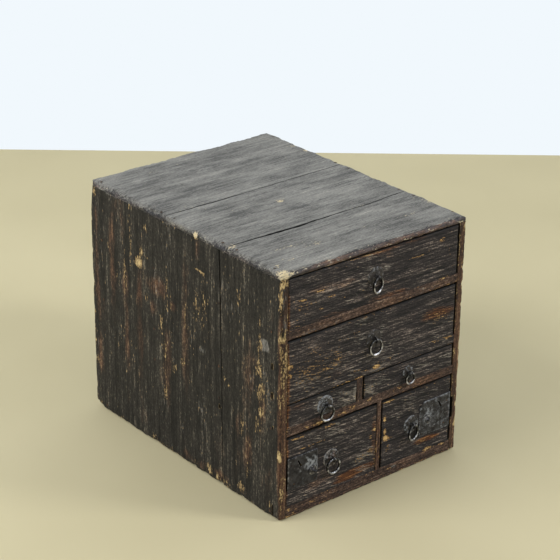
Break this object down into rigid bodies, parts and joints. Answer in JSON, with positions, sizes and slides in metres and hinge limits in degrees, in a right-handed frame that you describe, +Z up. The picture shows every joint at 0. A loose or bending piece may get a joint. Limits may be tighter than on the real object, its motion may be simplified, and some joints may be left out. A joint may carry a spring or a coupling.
{
  "type": "small tansu chest",
  "caption": "Low nailed wooden chest with drawers in rows, iron ring pulls on staples and two lower drawers with iron lock plates.",
  "frame": {"origin": "middle of the base of the whole chest, with the pulls counted in its depth", "axes": "+Z up, the drawers open towards -Y, +X to the right seen from the front"},
  "size_m": [0.303, 0.4104, 0.336],
  "materials": {
    "stained_wood": "near-black stain, worn through to bare wood on the edges",
    "top": "grey worn stain",
    "rail": "red-brown worn stain",
    "bare_wood": "bare, darkened with age",
    "iron": "dark hand-forged",
    "ring_iron": "hand-forged, rubbed bright by use",
    "rusty_iron": "rusty"
  },
  "bodies": {
    "case": {"top_board_front": "top", "top_board_middle": "top", "top_board_rear": "top", "left_side_front": "stained_wood", "left_side_rear": "stained_wood", "right_side": "stained_wood", "bottom_board": "rail", "upper_shelf": "rail", "middle_shelf": "rail", "lower_shelf": "rail", "small_divider": "rail", "lower_divider": "rail", "back_board": "stained_wood", "case_nails": "rusty_iron"},
    "top_drawer": {"top_drawer_front": "stained_wood", "top_drawer_sides": "bare_wood", "top_drawer_back": "bare_wood", "top_drawer_bottom": "bare_wood", "top_drawer_plate": "rusty_iron", "top_drawer_staple": "iron"},
    "top_drawer_ring": {"top_drawer_ring": "ring_iron"},
    "second_drawer": {"second_drawer_front": "stained_wood", "second_drawer_sides": "bare_wood", "second_drawer_back": "bare_wood", "second_drawer_bottom": "bare_wood", "second_drawer_plate": "rusty_iron", "second_drawer_staple": "iron"},
    "second_drawer_ring": {"second_drawer_ring": "ring_iron"},
    "small_left_drawer": {"small_left_drawer_front": "stained_wood", "small_left_drawer_sides": "bare_wood", "small_left_drawer_back": "bare_wood", "small_left_drawer_bottom": "bare_wood", "small_left_drawer_plate": "rusty_iron", "small_left_drawer_staple": "iron"},
    "small_left_drawer_ring": {"small_left_drawer_ring": "ring_iron"},
    "small_right_drawer": {"small_right_drawer_front": "stained_wood", "small_right_drawer_sides": "bare_wood", "small_right_drawer_back": "bare_wood", "small_right_drawer_bottom": "bare_wood", "small_right_drawer_plate": "rusty_iron", "small_right_drawer_staple": "iron"},
    "small_right_drawer_ring": {"small_right_drawer_ring": "ring_iron"},
    "lower_left_drawer": {"lower_left_drawer_front": "stained_wood", "lower_left_drawer_sides": "bare_wood", "lower_left_drawer_back": "bare_wood", "lower_left_drawer_bottom": "bare_wood", "lower_left_drawer_plate": "rusty_iron", "lower_left_drawer_staple": "iron", "left_lock_plate": "iron"},
    "lower_left_drawer_ring": {"lower_left_drawer_ring": "ring_iron"},
    "lower_right_drawer": {"lower_right_drawer_front": "stained_wood", "lower_right_drawer_sides": "bare_wood", "lower_right_drawer_back": "bare_wood", "lower_right_drawer_bottom": "bare_wood", "lower_right_drawer_plate": "rusty_iron", "lower_right_drawer_staple": "iron", "right_lock_plate": "iron"},
    "lower_right_drawer_ring": {"lower_right_drawer_ring": "ring_iron"},
    "left_lock_bolt": {"left_lock_bolt": "iron"},
    "right_lock_bolt": {"right_lock_bolt": "iron"}
  },
  "joints": [
    {"name": "top_drawer_slide", "type": "slide", "parent": "case", "child": "top_drawer", "axis": [0, -1, 0], "range_m": [0, 0.3]},
    {"name": "top_drawer_ring_swing", "type": "hinge", "parent": "top_drawer", "child": "top_drawer_ring", "pos_m": [-0.002, -0.20097, 0.2935], "axis": [-1, 0, 0], "range_deg": [0, 165]},
    {"name": "second_drawer_slide", "type": "slide", "parent": "case", "child": "second_drawer", "axis": [0, -1, 0], "range_m": [0, 0.3]},
    {"name": "second_drawer_ring_swing", "type": "hinge", "parent": "second_drawer", "child": "second_drawer_ring", "pos_m": [-0.002, -0.20097, 0.20875], "axis": [-1, 0, 0], "range_deg": [-8, 165]},
    {"name": "small_left_drawer_slide", "type": "slide", "parent": "case", "child": "small_left_drawer", "axis": [0, -1, 0], "range_m": [0, 0.3]},
    {"name": "small_left_drawer_ring_swing", "type": "hinge", "parent": "small_left_drawer", "child": "small_left_drawer_ring", "pos_m": [-0.07975, -0.20097, 0.14175], "axis": [-1, 0, 0], "range_deg": [-8, 165]},
    {"name": "small_right_drawer_slide", "type": "slide", "parent": "case", "child": "small_right_drawer", "axis": [0, -1, 0], "range_m": [0, 0.3]},
    {"name": "small_right_drawer_ring_swing", "type": "hinge", "parent": "small_right_drawer", "child": "small_right_drawer_ring", "pos_m": [0.0595, -0.20097, 0.14325], "axis": [-1, 0, 0], "range_deg": [-8, 165]},
    {"name": "lower_left_drawer_slide", "type": "slide", "parent": "case", "child": "lower_left_drawer", "axis": [0, -1, 0], "range_m": [0, 0.3]},
    {"name": "lower_left_drawer_ring_swing", "type": "hinge", "parent": "lower_left_drawer", "child": "lower_left_drawer_ring", "pos_m": [-0.068, -0.20097, 0.063], "axis": [-1, 0, 0], "range_deg": [-8, 165]},
    {"name": "lower_right_drawer_slide", "type": "slide", "parent": "case", "child": "lower_right_drawer", "axis": [0, -1, 0], "range_m": [0, 0.3]},
    {"name": "lower_right_drawer_ring_swing", "type": "hinge", "parent": "lower_right_drawer", "child": "lower_right_drawer_ring", "pos_m": [0.069, -0.20097, 0.064], "axis": [-1, 0, 0], "range_deg": [-3, 165]},
    {"name": "left_lock_bolt_slide", "type": "slide", "parent": "lower_left_drawer", "child": "left_lock_bolt", "axis": [-1, 0, 0], "range_m": [0, 0.0055]},
    {"name": "right_lock_bolt_slide", "type": "slide", "parent": "lower_right_drawer", "child": "right_lock_bolt", "axis": [1, 0, 0], "range_m": [0, 0.0055]}
  ]
}
